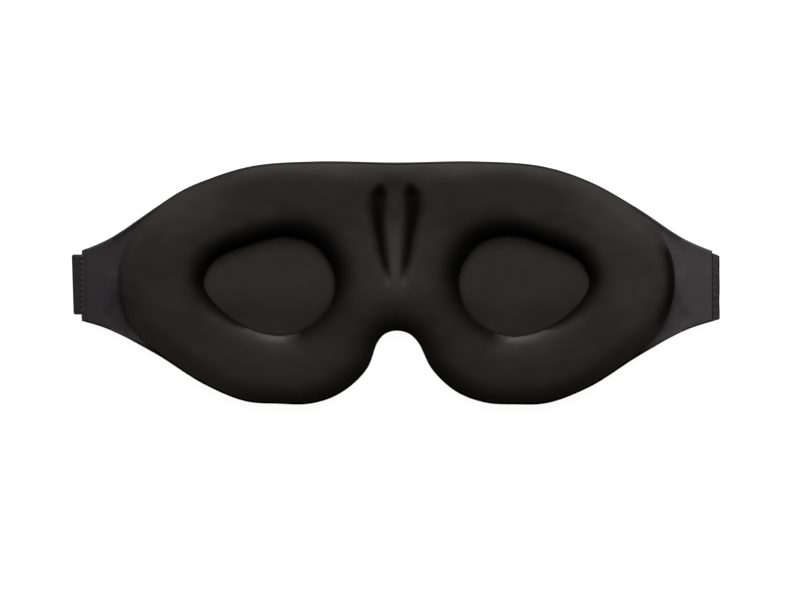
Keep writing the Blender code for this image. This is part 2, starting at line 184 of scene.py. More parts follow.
# The mask isn't quite symmetrical. Each row is a place on the plan, how far round it the plan is
# moved, and by how much in the middle.
OFF_TRUE = (
    ((-16.0, -32.0), (14.0, 14.0), (2.1, 0.0)),
    ((-27.0, -42.0), (12.0, 12.0), (0.0, -0.9)),
    ((82.0, -34.0), (38.0, 24.0), (0.0, -1.25)),
    ((-81.0, 33.0), (9.0, 14.0), (0.0, 0.75)),
    ((0.0, 18.0), (14.0, 22.0), (-0.7, 0.0)),
    ((42.0, 15.0), (12.0, 7.0), (0.0, 0.5)),
    ((26.0, -7.0), (7.0, 8.0), (0.9, 0.0)),
    ((-27.0, -12.0), (7.0, 7.0), (-0.8, 0.0)),
)

# How fine the pads' meshes are: points along the foot, up the centre line, and rings. Points of
# the two halves are joined where they are within MEET metres.
FOOT_COUNT = 360
CENTRE_COUNT = 80
RING_COUNT = 76
MEET = 2e-6

# The face cover and the eye cup's floor, which stands up by CUP_CROWN in the middle. The flat
# knit's eye holes are smaller than the cups, because their edges are drawn down the walls.
COVER_THICK = 0.45
CUP_CROWN = 0.7
# How far in, and how far down from the flange's top, the cover's foot is rolled under, and how
# far in from the cup's edge and down the floor's edge is turned.
COVER_ROLL = ((0.05, 0.25), (0.3, 0.45), (0.9, 0.5), (2.0, 0.5))
FLOOR_TURN = ((0.4, 0.01), (0.15, 0.04), (0.05, 0.12), (0.02, 0.4), (0.5, 1.0))

# The foam: how far in from the pad's edge and up from the outer side it starts, how far under the
# cover's face it is, and how far under the flange's top it is below the cups.
FOAM_INSET = 1.6
FOAM_UNDER_FACE = 2.2
FOAM_UNDER_CUP = 1.3
# The innermost ring of the foam's underside and the flat layers, as a share of the cup's edge.
CORE_SHARE = 0.05

# The edge welts: how far inside the edge they run, half their width and height, where the mask's
# end and how far before that the wings' start. Along the wing they are lighter than its cloth,
# by painted light.
WELT_INSET = 0.4
WELT_HALF = (0.58, 0.75)
WING_WELT_HALF = (0.54, 0.71)
WELT_END_X = 98.5
WELT_OVERLAP = 3.0
WELT_LIGHTER = 0.5
WING_WELT_PAINTED_LIGHT = {"brow": 1.8, "cheek": 1.2}

# The wings: where they start under the pad, how thick their cloth is, how far it is inside the
# frame's flange and inside the edges, and its tones, which are painted light: the right wing
# lighter, and both lighter in the cheek-side corner that the pad shades.
WING_ROOT_X = 82.0
WING_CLOTH = 0.5
WING_GAP = 0.03
WING_INSET = 0.3
WING_DARKER = {"right": -0.75, "left": 0.0}
WING_CORNER_PAINTED_LIGHT = {"right": 1.2, "left": 2.2}

# The wings' cloth simulation: points across, how many times the size, frames, how much too large
# the cut is, and the most that it may lift in millimetres.
SIM_COLUMNS = 34
SIM_SCALE = 100.0
SIM_FRAMES = 24
SIM_SLACK = 0.005
SIM_CAP = 0.3

# The hems: thickness, how far in the brow end is, how far in from the end the stitches run, tones
# of the cloth and the thread, and the width of the painted shadow line along the inner edge and
# how dark it is.
HEM_THICK = 2.0
HEM_INSET = {"right": 0.7, "left": -0.1}
HEM_ROWS = {"right": (0.55, 2.8), "left": (0.2,)}
HEM_DARKER = {"right": -1.0, "left": -0.7}
HEM_THREAD_DARKER = {"right": 0.5, "left": -2.5}
HEM_LINE = 0.35
HEM_PAINTED_SHADOW = 1.3

# The straps: ribs across, where a strap is in two stretches, and how the left one leans.
STRAP_RIBS = 14
STRAP_SPLIT_X = 112.0
STRAP_ROOT_DARKER = 0.3
TILT = {"right": 0.0, "left": 0.032}
TILT_ABOUT = 25.0
TILT_FROM = 108.0
TILT_TO = 118.0

# The closure: what each strap's patch is and which way it faces, how much of its thickness is
# tape, how far in it is sewn, and the hooks' pitch, border and shape.
PATCHES = {"right": ("loop", -1), "left": ("hook", 1)}
PATCH_BASE = {"loop": 0.9, "hook": 0.45}
PATCH_MARGIN = 1.3
HOOK_PITCH = 1.25
HOOK_BORDER = 2.4
# One row a ring of the hook: how far over, how far up as a share, and its radius.
HOOK_RINGS = (
    (0.0, 0.0, 0.22), (0.0, 0.55, 0.17), (0.096, 0.9, 0.15), (0.336, 0.95, 0.12), (0.44, 0.7, 0.07),
)

PICTURE_WIDTH = 0.2968


# ---------------------------------------------------------------- plan curves

def smooth_curve(points, closed=False, steps=24):
    """Points along a centripetal Catmull-Rom curve through the given points."""
    p = [np.array(q, float) for q in points]
    if closed:
        p = [p[-1]] + p + [p[0], p[1]]
    else:
        p = [2 * p[0] - p[1]] + p + [2 * p[-1] - p[-2]]
    found = []
    for a, b, c, d in zip(p, p[1:], p[2:], p[3:]):
        knots = [0.0]
        for u, v in ((a, b), (b, c), (c, d)):
            knots.append(knots[-1] + math.sqrt(np.linalg.norm(v - u)))
        k0, k1, k2, k3 = knots
        for t in np.linspace(k1, k2, steps, endpoint=False):
            ab = ((k1 - t) * a + (t - k0) * b) / (k1 - k0)
            bc = ((k2 - t) * b + (t - k1) * c) / (k2 - k1)
            cd = ((k3 - t) * c + (t - k2) * d) / (k3 - k2)
            abc = ((k2 - t) * ab + (t - k0) * bc) / (k2 - k0)
            bcd = ((k3 - t) * bc + (t - k1) * cd) / (k3 - k1)
            found.append(((k2 - t) * abc + (t - k1) * bcd) / (k2 - k1))
    if not closed:
        found.append(p[-2])
    return np.array(found)


def half_edge(points):
    """A smooth edge from the centre line outwards, square to the centre line where it starts."""
    mirrored = (-points[1][0], points[1][1])
    curve = smooth_curve((mirrored,) + tuple(points))
    return curve[curve[:, 0] >= -1e-9]


def resample(curve, count):
    """count + 1 points, evenly spaced along a curve."""
    along = np.concatenate([[0.0], np.cumsum(np.linalg.norm(np.diff(curve, axis=0), axis=1))])
    wanted = np.linspace(0.0, along[-1], count + 1)
    return np.column_stack([np.interp(wanted, along, curve[:, k]) for k in range(curve.shape[1])])


def sideways(curve):
    """Unit vectors to the left of a plan curve."""
    run = np.gradient(curve, axis=0)
    run /= np.linalg.norm(run, axis=1)[:, None]
    return np.column_stack([-run[:, 1], run[:, 0]])


def shifted(curve, distance):
    """The curve moved to its left by a distance."""
    return curve + distance * sideways(curve)


def height_at(edge, x):
    """Where an outward-running edge is at a distance from the centre line."""
    return np.interp(x, edge[:, 0], edge[:, 1])


def distance_to(curve, points):
    """Each point's distance to a polyline."""
    a = curve[:-1]
    run = curve[1:] - a
    size = np.maximum((run**2).sum(axis=1), 1e-12)
    found = []
    for block in np.array_split(points, max(1, len(points) // 4000)):
        rel = block[:, None, :] - a[None, :, :]
        along = np.clip((rel * run).sum(axis=2) / size, 0.0, 1.0)
        found.append(np.linalg.norm(rel - along[..., None] * run, axis=2).min(axis=1))
    return np.concatenate(found)


def smoothstep(t):
    """0 up to 0, 1 from 1 and a smooth rise between."""
    t = np.clip(t, 0.0, 1.0)
    return t * t * (3 - 2 * t)


def ramp(value, none, full):
    """A smooth change from 0 where value is none to 1 where it is full."""
    return smoothstep((value - none) / (full - none))


def bell(t, power=2):
    """1 at 0, falling away on both sides."""
    return np.exp(-(np.abs(t) ** power))


def half_plan(points):
    """Plan points with the left half's turned over onto the right half."""
    return np.column_stack([np.abs(points[:, 0]), points[:, 1]])


def rounded(distance, reach, square=2.0):
    """0 at no distance, rising steeply and level with 1 at reach. square is 2 for an ellipse."""
    u = np.clip(distance / reach, 0.0, 1.0)
    return (1.0 - (1.0 - u) ** square) ** (1.0 / square)


BROW = half_edge(BROW_EDGE)
CHEEK = half_edge(CHEEK_EDGE)
EYE_CUP = smooth_curve(EYE_CUP_EDGE, closed=True)
EYE_CUP_LOOP = np.vstack([EYE_CUP, EYE_CUP[:1]])


def polar(points):
    """Angle and radius of points about the middle of the eye cup."""
    rel = points - EYE_CENTRE
    return np.arctan2(rel[:, 1], rel[:, 0]), np.linalg.norm(rel, axis=1)


def reach_of(closed_line, angles):
    """How far a closed line lies from the middle of the eye cup at each angle."""
    fine = resample(closed_line, 3000)[:-1]
    angle, radius = polar(fine)
    order = np.argsort(angle)
    return np.interp(angles, angle[order], radius[order], period=2 * math.pi)


def temple_arc(inset):
    """The round edge of the pad between the brow edge and the cheek edge."""
    turn = np.linspace(math.radians(60), math.radians(-60), 160)
    radius = TEMPLE_RADIUS - inset
    arc = TEMPLE_CENTRE + radius * np.column_stack([np.cos(turn), np.sin(turn)])
    below = arc[:, 1] < height_at(shifted(BROW, -FOOT_INSET - inset), arc[:, 0])
    above = arc[:, 1] > height_at(shifted(CHEEK, FOOT_INSET + inset), arc[:, 0])
    return arc[below & above]


def pad_outline(inset=0.0):
    """The open line where the pad ends, from the brow at the centre line round to the nose."""
    arc = temple_arc(inset)
    brow = shifted(BROW, -FOOT_INSET - inset)
    cheek = shifted(CHEEK, FOOT_INSET + inset)
    brow = brow[brow[:, 0] < arc[0, 0] - 1.0]
    cheek = cheek[cheek[:, 0] < arc[-1, 0] - 1.0][::-1]
    line = resample(np.vstack([brow, arc[3:-3], cheek]), 700)
    for _ in range(24):
        line[1:-1] = 0.5 * line[1:-1] + 0.25 * (line[:-2] + line[2:])
    line[:, 0] = np.maximum(line[:, 0], 0.0)
    line[0, 0] = line[-1, 0] = 0.0
    return line


PAD_FOOT = pad_outline()
GROOVE = smooth_curve(GROOVE_LINE)


# ---------------------------------------------------------------- heights

def waves(points, pitch, seed, count=7):
    """Gentle waviness between about -1 and 1 from a few plane waves."""
    rng = np.random.default_rng(seed)
    total = np.zeros(len(points))
    for _ in range(count):
        angle = rng.uniform(0, 2 * math.pi)
        length = pitch * rng.uniform(0.7, 1.6)
        phase = rng.uniform(0, 2 * math.pi)
        along = points @ np.array((math.cos(angle), math.sin(angle)))
        total += np.sin(2 * math.pi * along / length + phase)
    return total / math.sqrt(count)


def groove_depth(points):
    """The two grooves over the nose bridge: wide at the brow, drawn together to points below."""
    x, y = np.abs(points[:, 0]), points[:, 1]
    middle = np.interp(y, GROOVE[:, 0], GROOVE[:, 1])
    half_width = np.interp(y, GROOVE[:, 0], GROOVE[:, 2]) * np.where(x > middle, GROOVE_OUTER, 1.0)
    low, high = GROOVE[0, 0], GROOVE[-1, 0]
    ends = smoothstep((y - low) / GROOVE_ENDS[0]) * smoothstep((high - y) / GROOVE_ENDS[1])
    return GROOVE_DEPTH * ends * bell((x - middle) / half_width, 1.8)


def shoulder(plan):
    """How far the pad has risen from its foot at plan points, from 0 to 1."""
    share = pad_sides(plan)
    reach = sum(share[k] * SHOULDER[k][0] for k in SHOULDER)
    reach = reach + share["brow"] * SHOULDER_AT_BRIDGE * bell(plan[:, 0] / 20.0)
    square = sum(share[k] * SHOULDER[k][1] for k in SHOULDER)
    return rounded(distance_to(PAD_FOOT, plan), reach, square)


def cup_sides(angle):
    """How far each angle about the middle of the eye cup belongs to each side of the cup."""
    share = {}
    for side, towards in WALL_TOWARDS.items():
        quarter_turns = np.abs((angle / math.pi - towards + 1.0) % 2.0 - 1.0) * 2
        share[side] = smoothstep(1.0 - quarter_turns)
    return share


def pad_sides(plan):
    """How far plan points belong to the brow, the cheek and the temple side of the pad."""
    angle, _ = polar(plan)
    temple = bell(angle / TEMPLE_SPREAD)
    cheek = (1.0 - temple) * smoothstep(0.5 - plan[:, 1] / (2 * BROW_TO_CHEEK))
    return {"brow": 1.0 - temple - cheek, "cheek": cheek, "temple": temple}


def cup_wall(plan):
    """How far the cup's wall has risen at plan points, from 0 at the cup's edge to 1."""
    angle, radius = polar(plan)
    share = cup_sides(angle)
    reach = sum(share[k] * WALL[k][0] for k in WALL)
    square = sum(share[k] * WALL[k][1] for k in WALL)
    from_cup = distance_to(EYE_CUP_LOOP, plan)
    from_cup = np.where(radius > reach_of(EYE_CUP_LOOP, angle), from_cup, 0.0)
    return rounded(from_cup, reach, square)


def crest_height(plan):
    """The height that the face side would reach away from its edges."""
    x, y = plan[:, 0], plan[:, 1]
    saddle = SADDLE_LOW + (SADDLE_HIGH - SADDLE_LOW) * ramp(y, SADDLE_FROM, SADDLE_TO)
    saddle = saddle + BROW_RISE * ramp(y, BROW_RISE_FROM, BROW_RISE_FROM + 8.0) * bell(x / 9.0)
    return PAD_CREST + (saddle - PAD_CREST) * bell(x / BRIDGE_WIDTH)


def face_height(points):
    """Height of the face side over plan points, in millimetres."""
    plan = half_plan(points)
    rise = shoulder(plan) * cup_wall(plan)
    lumps = sum(height * waves(points, pitch, seed) for height, pitch, seed in LUMPS)
    full = crest_height(plan) - FLANGE_TOP - groove_depth(points) + lumps
    return FLANGE_TOP + full * rise


def by_angle(table, angle):
    """Values from a table of degrees round the eye cup."""
    return np.interp(np.degrees(angle), *zip(*table))


def painted_shade_share(plan, right):
    """Painted shade: how much darker the knit is than on the crest, in the hollows and at the rims."""
    angle, _ = polar(plan)
    side = pad_sides(plan)
    x, y = plan[:, 0], plan[:, 1]
    foot = distance_to(PAD_FOOT, plan)
    walls = bell(distance_to(EYE_CUP_LOOP, plan) / by_angle(WALL_PAINTED_SHADE, angle))
    grooves = np.clip(groove_depth(plan) / GROOVE_DEPTH, 0.0, 1.0)
    grooves = grooves * (0.92 - 0.4 * ramp(y, 26.0, 33.0))
    right_rim = TEMPLE_RIM_DARKER["right"] * bell(foot / 4.2, 3)
    left_rim = TEMPLE_RIM_DARKER["left"] * bell(foot / 2.6)
    beside_wing = ramp(y, 16.0, 10.0) * ramp(y, -17.5, -12.5)
    rims = side["temple"] * np.where(right, right_rim, left_rim) * beside_wing
    far = ramp(x, 16.0, 42.0)
    under = CHEEK_RIM_DARKER["far"] * far * bell(foot / 6.5)
    under = under + CHEEK_RIM_DARKER["nose"] * (1.0 - far) * bell(foot / 9.5)
    rims = np.maximum(rims, side["cheek"] * under)
    brow_end = np.where(right, BROW_RIM_DARKER["right"], BROW_RIM_DARKER["left"])
    brow_end = brow_end * ramp(x, 48.0, 62.0) * ramp(y, 0.0, 10.0)
    rims = np.maximum(rims, brow_end * bell(foot / 2.4))
    return DARKEST_PAINTED_SHADE * np.minimum(np.maximum(np.maximum(walls, grooves), rims), 1.0)


def painted_light_share(plan, right):
    """Painted highlights: how much lighter the knit is, where it faces the light more than its shape
    does.
    """
    angle, _ = polar(plan)
    x, y = plan[:, 0], plan[:, 1]
    foot, from_cup = distance_to(PAD_FOOT, plan), distance_to(EYE_CUP_LOOP, plan)
    end = RIGHT_END_LIGHTER * right * ramp(x, 66.0, 86.0) * ramp(y, -22.0, -8.0)
    total = end * smoothstep(foot / 6.0)
    total = total + by_angle(LIP_PAINTED_HIGHLIGHT, angle) * bell(from_cup / 2.2)
    below = bell((np.degrees(angle) + 95.0) / 42.0) * bell((from_cup - 6.0) / 3.0)
    total = total + PAINTED_HIGHLIGHT_BELOW_LIP * below
    on_nose = ramp(y, 26.0, 10.0) * ramp(y, -8.0, 0.0)
    total = total + NOSE_PAINTED_HIGHLIGHT * on_nose * bell(x / 3.5)
    brow_end = ramp(x, 54.0, 72.0) * ramp(x, 94.0, 78.0) * ramp(y, -2.0, 10.0)
    total = total + BROW_END_LIGHTER * brow_end * bell((foot - 9.0) / 6.0)
    brow_middle = bell((x - 21.0) / 12.0) * ramp(y, 0.0, 10.0)
    total = total + BROW_MIDDLE_LIGHTER * brow_middle * bell((foot - 4.0) / 3.5)
    for name, is_side in (("right", right), ("left", ~right)):
        start = CHEEK_END_FROM[name]
        cheek_end = ramp(x, start, start + 20.0) * ramp(y, -6.0, -14.0) * is_side
        total = total + CHEEK_END_LIGHTER[name] * cheek_end * bell(foot / 3.0, 1.3)
    return total


def face_painted_shade_and_light(points):
    """How much darker the knit is than on the crest, as a share, by painted shade. It is negative where
    painted highlights make it lighter.
    """
    plan = half_plan(points)
    right = points[:, 0] > 0
    return painted_shade_share(plan, right) - painted_light_share(plan, right)


def floor_tone(points):
    """How much darker the cup's floor is: towards the cheek, and in its crease at the nose by painted
    shade.
    """
    plan = half_plan(points)
    at_nose = cup_sides(polar(plan)[0])["nose"]
    crease = FLOOR_DARKER["crease"] * at_nose * bell(distance_to(EYE_CUP_LOOP, plan) / 1.6)
    return FLOOR_DARKER["cheek"] * ramp(plan[:, 1], -2.0, -12.0) + crease


def outer_height(points):
    """Height of the outer side over plan points, which bulges down under each half."""
    plan = half_plan(points)
    bulge = rounded(distance_to(PAD_FOOT, plan), DOME_REACH)
    shallow = 1.0 - VALLEY * bell(plan[:, 0] / VALLEY_SPREAD)
    return FLANGE_LOW - DOME * bulge * shallow


# ---------------------------------------------------------------- meshes

def make_object(name, verts, faces, plan=None):
    """A smooth mesh object from vertices in millimetres. plan gives its pattern coordinates."""
    verts = np.asarray(verts, float)
    mesh = bpy.data.meshes.new(name)
    mesh.from_pydata(verts * MM, [], [list(map(int, f)) for f in faces])
    mesh.shade_smooth()
    plan = verts[:, :2] if plan is None else np.asarray(plan, float)
    layer = mesh.uv_layers.new(name="UVMap")
    corner = np.zeros(len(mesh.loops), dtype=np.int32)
    mesh.loops.foreach_get("vertex_index", corner)
    layer.data.foreach_set("uv", (plan[corner] * MM).ravel())
    obj = bpy.data.objects.new(name, mesh)
    bpy.context.collection.objects.link(obj)
    return obj


def mend(obj, join=0.0, upward=None):
    """Joins vertices closer than join metres and points all faces the same way.

    A closed mesh has its faces outwards. An open sheet has them up, or down if upward is False.
    """
    work = bmesh.new()
    work.from_mesh(obj.data)
    if join:
        bmesh.ops.remove_doubles(work, verts=work.verts, dist=join)
    bmesh.ops.recalc_face_normals(work, faces=work.faces)
    if upward is not None:
        facing = sum(f.normal.z * f.calc_area() for f in work.faces)
        if (facing > 0) != upward:
            bmesh.ops.reverse_faces(work, faces=work.faces)
    work.to_mesh(obj.data)
    work.free()
    obj.data.shade_smooth()
    return obj


def loft(rows, closed=True, skip=()):
    """Vertices and quads between successive rows of points. skip holds (row, column) to leave out."""
    count = len(rows[0])
    gone = set(skip)
    faces = []
    for r in range(len(rows) - 1):
        for i in range(count if closed else count - 1):
            if (r, i) in gone:
                continue
            j = (i + 1) % count
            faces.append((r * count + i, r * count + j, (r + 1) * count + j, (r + 1) * count + i))
    return np.vstack(rows), faces


def tube(rows):
    """A closed tube through rings of points, as vertices and faces."""
    verts, faces = loft(rows)
    count = len(rows[0])
    faces.append(tuple(range(count)))
    faces.append(tuple(len(verts) - count + i for i in range(count)))
    return verts, faces


def gathered(parts):
    """The vertices and faces of several meshes in one."""
    starts = np.cumsum([0] + [len(verts) for verts, _ in parts])
    faces = [tuple(start + i for i in f) for start, (_, part) in zip(starts, parts) for f in part]
    return np.vstack([verts for verts, _ in parts]), faces


def both_halves(name, verts, faces):
    """The right half's mesh with its mirror image, joined where they meet on the centre line."""
    other = verts * MIRROR["left"], [f[::-1] for f in faces]
    return make_object(name, *gathered([(verts, faces), other]))


def thicken(obj, thickness):
    """Gives a sheet its thickness in millimetres, behind its face, applied to the mesh."""
    solid = obj.modifiers.new("thickness", "SOLIDIFY")
    solid.thickness = thickness * MM
    solid.offset = -1.0
    bpy.context.view_layer.update()
    graph = bpy.context.evaluated_depsgraph_get()
    mesh = bpy.data.meshes.new_from_object(obj.evaluated_get(graph), depsgraph=graph)
    obj.modifiers.clear()
    obj.data = mesh
    return obj


def coordinates(mesh):
    """A mesh's vertices in metres, one a row."""
    found = np.zeros(len(mesh.vertices) * 3)
    mesh.vertices.foreach_get("co", found)
    return found.reshape(-1, 3)


def tone(obj, darker):
    """Marks how much darker the cloth is at each vertex, by its own tones or by painted shade and light:
    a share, or a function of plan points.
    """
    plan = coordinates(obj.data)[:, :2] / MM
    share = darker(plan) if callable(darker) else np.full(len(plan), darker)
    layer = obj.data.attributes.new("darker", "FLOAT", "POINT")
    layer.data.foreach_set("value", share.astype(np.float32))


def move_off_true(obj):
    """Moves a piece's points in plan by as much as the mask is off its symmetrical shape."""
    verts = coordinates(obj.data)
    plan = verts[:, :2] / MM
    for place, spread, shift in OFF_TRUE:
        share = np.exp(-(((plan - place) / spread) ** 2).sum(axis=1))
        verts[:, :2] += share[:, None] * np.array(shift) * MM
    obj.data.vertices.foreach_set("co", verts.ravel())
    obj.data.update()


def lengths_along(path):
    """The distance along a path to each of its points."""
    return np.concatenate([[0.0], np.cumsum(np.linalg.norm(np.diff(path, axis=0), axis=1))])


def band(name, low_edge, high_edge, normals, thickness, columns, rim, lift=None, ribs=0):
    """A closed band of cloth: a row of points across it at each station along its length.

    low_edge and high_edge are its long edges. normals is its face's direction, or one a station.
    lift(along, across) raises the cloth in millimetres, where along and across go from 0 to 1.
    Its long edges are round over rim millimetres. ribs is the number of ribs that run along it.
    """
    low_edge, high_edge = np.asarray(low_edge, float), np.asarray(high_edge, float)
    normals = np.broadcast_to(np.asarray(normals, float), low_edge.shape)
    normals = normals / np.linalg.norm(normals, axis=1)[:, None]
    across = np.linspace(0, 1, columns) if ribs else both_ends(columns)
    run = lengths_along((low_edge + high_edge) / 2)
    rows, plans = [], []
    for k, (a, b, n) in enumerate(zip(low_edge, high_edge, normals)):
        width = np.linalg.norm(b - a)
        points = a + (b - a) * across[:, None]
        edge = np.minimum(across, 1 - across) * width
        half = thickness / 2 * rounded(edge, rim) + 0.02
        if ribs:
            half *= 1 + 0.03 * np.cos(2 * math.pi * ribs * across)
        raised = np.zeros(columns) if lift is None else lift(run[k] / run[-1], across)
        rows.append(np.vstack([
            points + n * (raised + half)[:, None],
            (points + n * (raised - half)[:, None])[::-1],
        ]))
        side = np.column_stack([np.full(columns, run[k]), across * width])
        plans.append(np.vstack([side, side[::-1]]))
    verts, faces = loft(rows)
    count = 2 * columns
    for start in (0, len(verts) - count):
        for i in range(columns - 1):
            faces.append((start + i, start + i + 1, start + count - 2 - i, start + count - 1 - i))
    return mend(make_object(name, verts, faces, np.vstack(plans)))


def cord_band(name, path, half_wide, half_high, sides=10):
    """A closed band of oval section along a path that runs level or nearly so."""
    path = np.asarray(path, float)
    run = np.gradient(path, axis=0)
    run /= np.linalg.norm(run, axis=1)[:, None]
    up = np.array((0.0, 0.0, 1.0))
    side = np.cross(up, run)
    side /= np.linalg.norm(side, axis=1)[:, None]
    turn = np.linspace(0, 2 * math.pi, sides, endpoint=False)
    along = lengths_along(path)
    rows, plans = [], []
    for point, s, distance in zip(path, side, along):
        wide = half_wide * np.cos(turn)[:, None] * s
        rows.append(point + wide + half_high * np.sin(turn)[:, None] * up)
        plans.append(np.column_stack([np.full(sides, distance), turn * half_wide]))
    verts, faces = tube(rows)
    return mend(make_object(name, verts, faces, np.vstack(plans)))


def stitches(name, path, up, pitch, share, radius):
    """A row of thread stitches along a path, each a small arched bead of thread.

    A stitch is share of the pitch long.
    """
    sides = 6
    path = np.asarray(path, float)
    up = np.asarray(up, float) / np.linalg.norm(up)
    count = max(2, int(lengths_along(path)[-1] / pitch))
    steps = 6
    along = resample(path, count * steps)
    parts = []
    turn = np.linspace(0, 2 * math.pi, sides, endpoint=False)
    for s in range(count):
        start = along[s * steps]
        run = (along[(s + 1) * steps] - start) * share
        side = np.cross(up, run)
        side /= np.linalg.norm(side)
        rows = []
        for t in np.linspace(0, 1, steps):
            arch = math.sin(math.pi * t)
            middle = start + run * t + up * radius * (0.9 * arch - 0.55)
            ring = radius * (0.35 + 0.65 * math.sqrt(max(arch, 0.0)))
            rows.append([middle + ring * (math.cos(a) * side + math.sin(a) * up) for a in turn])
        parts.append(tube(rows))
    return mend(make_object(name, *gathered(parts)))


# ---------------------------------------------------------------- materials

def set_inputs(shader_node, values):
    """Sets a node's unlinked inputs, named or numbered."""
    for socket, value in values.items():
        shader_node.inputs[socket].default_value = value


def new_material(name, colour, roughness, sheen=0.0, specular=0.15):
    """A Principled material and handles to its nodes."""
    material = bpy.data.materials.new(name)
    material.use_nodes = True
    nodes, links = material.node_tree.nodes, material.node_tree.links
    shader = nodes["Principled BSDF"]
    set_inputs(shader, {
        "Base Color": (*colour, 1.0),
        "Roughness": roughness,
        "Specular IOR Level": specular,
        "Sheen Weight": sheen,
        "Sheen Roughness": 0.5,
        "Sheen Tint": (*[min(c * 6, 1.0) for c in colour], 1.0),
    })
    return material, nodes, links, shader


def node(nodes, kind, values=None, operation=None):
    """A shader node with some of its unlinked inputs set."""
    made = nodes.new(kind)
    if operation:
        made.operation = operation
    set_inputs(made, values or {})
    return made


def maths(nodes, operation, values=None):
    """A Math node."""
    return node(nodes, "ShaderNodeMath", values, operation)


def bands(nodes, direction, pitch, uneven):
    """Even ridges across one direction of the pattern, one every pitch millimetres."""
    scale = math.pi / 10 / (pitch * MM)
    wave = node(nodes, "ShaderNodeTexWave", {"Scale": scale, "Distortion": uneven, "Detail": 0.0})
    wave.wave_type = "BANDS"
    wave.bands_direction = direction
    return wave


def weave_of(nodes, links, place, pitch, join, uneven=0.6):
    """Loops or ribs from two rows of ridges across the pattern's X and Y."""
    wales = bands(nodes, "X", pitch[0], uneven)
    courses = bands(nodes, "Y", pitch[1], uneven)
    weave = maths(nodes, join)
    links.new(place, wales.inputs["Vector"])
    links.new(place, courses.inputs["Vector"])
    links.new(wales.outputs["Fac"], weave.inputs[0])
    links.new(courses.outputs["Fac"], weave.inputs[1])
    return weave.outputs["Value"]


def weave_round(nodes, links, place, pitch, uneven=0.6):
    """Knit loops that keep their size on steep sides, from ridges across X, Y and Z."""
    ridges = {}
    for direction, size in (("X", pitch[0]), ("Y", pitch[1]), ("Z", pitch[1])):
        ridges[direction] = bands(nodes, direction, size, uneven)
        links.new(place.outputs["Object"], ridges[direction].inputs["Vector"])
    facing = node(nodes, "ShaderNodeVectorMath", operation="MULTIPLY")
    links.new(place.outputs["Normal"], facing.inputs[0])
    links.new(place.outputs["Normal"], facing.inputs[1])
    loops = nodes.new("ShaderNodeCombineXYZ")
    for towards, (first, second) in (("X", ("Y", "Z")), ("Y", ("X", "Z")), ("Z", ("X", "Y"))):
        crossed = maths(nodes, "MULTIPLY")
        links.new(ridges[first].outputs["Fac"], crossed.inputs[0])
        links.new(ridges[second].outputs["Fac"], crossed.inputs[1])
        links.new(crossed.outputs["Value"], loops.inputs[towards])
    mixed = node(nodes, "ShaderNodeVectorMath", operation="DOT_PRODUCT")
    links.new(facing.outputs["Vector"], mixed.inputs[0])
    links.new(loops.outputs["Vector"], mixed.inputs[1])
    return mixed.outputs["Value"]


def cloth(name, colour, tint, roughness=0.85, sheen=0.1, pitch=(0.28, 0.34), relief=0.03,
          join="MULTIPLY", specular=0.0, mottle=70.0, moulded=False):
    """Black cloth: loops or ribs in relief, fuzz, uneven dye, and lighter thread tops where worn.

    pitch is the size of its loops and relief their height, in millimetres. The vertex attribute
    "darker" takes its share off the colour; it holds painted shade and painted light as well as
    the cloth's own tones. Moulded cloth keeps its loops' size on steep sides.
    """
    material, nodes, links, shader = new_material(name, colour, roughness, sheen, specular)
    if moulded:
        pattern = nodes.new("ShaderNodeTexCoord")
        place = pattern.outputs["Object"]
        weave = weave_round(nodes, links, pattern, pitch)
    else:
        pattern = nodes.new("ShaderNodeUVMap")
        pattern.uv_map = "UVMap"
        place = pattern.outputs["UV"]
        weave = weave_of(nodes, links, place, pitch, join)
    fuzz = node(nodes, "ShaderNodeTexNoise", {"Scale": 2600.0, "Detail": 2.0})
    dye = node(nodes, "ShaderNodeTexNoise", {"Scale": mottle, "Detail": 5.0, "Roughness": 0.62})
    for texture in (fuzz, dye):
        links.new(place, texture.inputs["Vector"])

    height = maths(nodes, "MULTIPLY_ADD", {1: 0.6})
    bump = node(nodes, "ShaderNodeBump", {"Strength": 0.5, "Distance": relief * MM})
    links.new(fuzz.outputs["Fac"], height.inputs[0])
    links.new(weave, height.inputs[2])
    links.new(height.outputs["Value"], bump.inputs["Height"])
    links.new(bump.outputs["Normal"], shader.inputs["Normal"])

    shade = nodes.new("ShaderNodeValToRGB")
    for stop, position, dyed in zip(shade.color_ramp.elements, (0.34, 0.66), (colour, tint)):
        stop.position = position
        stop.color = (*dyed, 1.0)
    tops = node(nodes, "ShaderNodeMapRange", {"From Min": 0.55, "From Max": 1.1, "To Max": 0.35})
    worn = node(nodes, "ShaderNodeMix")
    worn.data_type = "RGBA"
    worn.blend_type = "SCREEN"
    worn.inputs[7].default_value = (*[c * 1.5 for c in tint], 1.0)
    links.new(dye.outputs["Fac"], shade.inputs["Fac"])
    links.new(height.outputs["Value"], tops.inputs["Value"])
    links.new(tops.outputs["Result"], worn.inputs[0])
    links.new(shade.outputs["Color"], worn.inputs[6])

    # The "darker" attribute holds painted shade and painted light as well as the cloth's own tones.
    marked = nodes.new("ShaderNodeAttribute")
    marked.attribute_name = "darker"
    left = maths(nodes, "SUBTRACT", {0: 1.0})
    toned = node(nodes, "ShaderNodeVectorMath", operation="SCALE")
    links.new(marked.outputs["Fac"], left.inputs[1])
    links.new(worn.outputs[2], toned.inputs[0])
    links.new(left.outputs["Value"], toned.inputs["Scale"])
    links.new(toned.outputs["Vector"], shader.inputs["Base Color"])

    low, high = roughness - 0.08, min(roughness + 0.08, 1.0)
    gloss = node(nodes, "ShaderNodeMapRange", {"To Min": low, "To Max": high})
    links.new(dye.outputs["Fac"], gloss.inputs["Value"])
    links.new(gloss.outputs["Result"], shader.inputs["Roughness"])
    return material


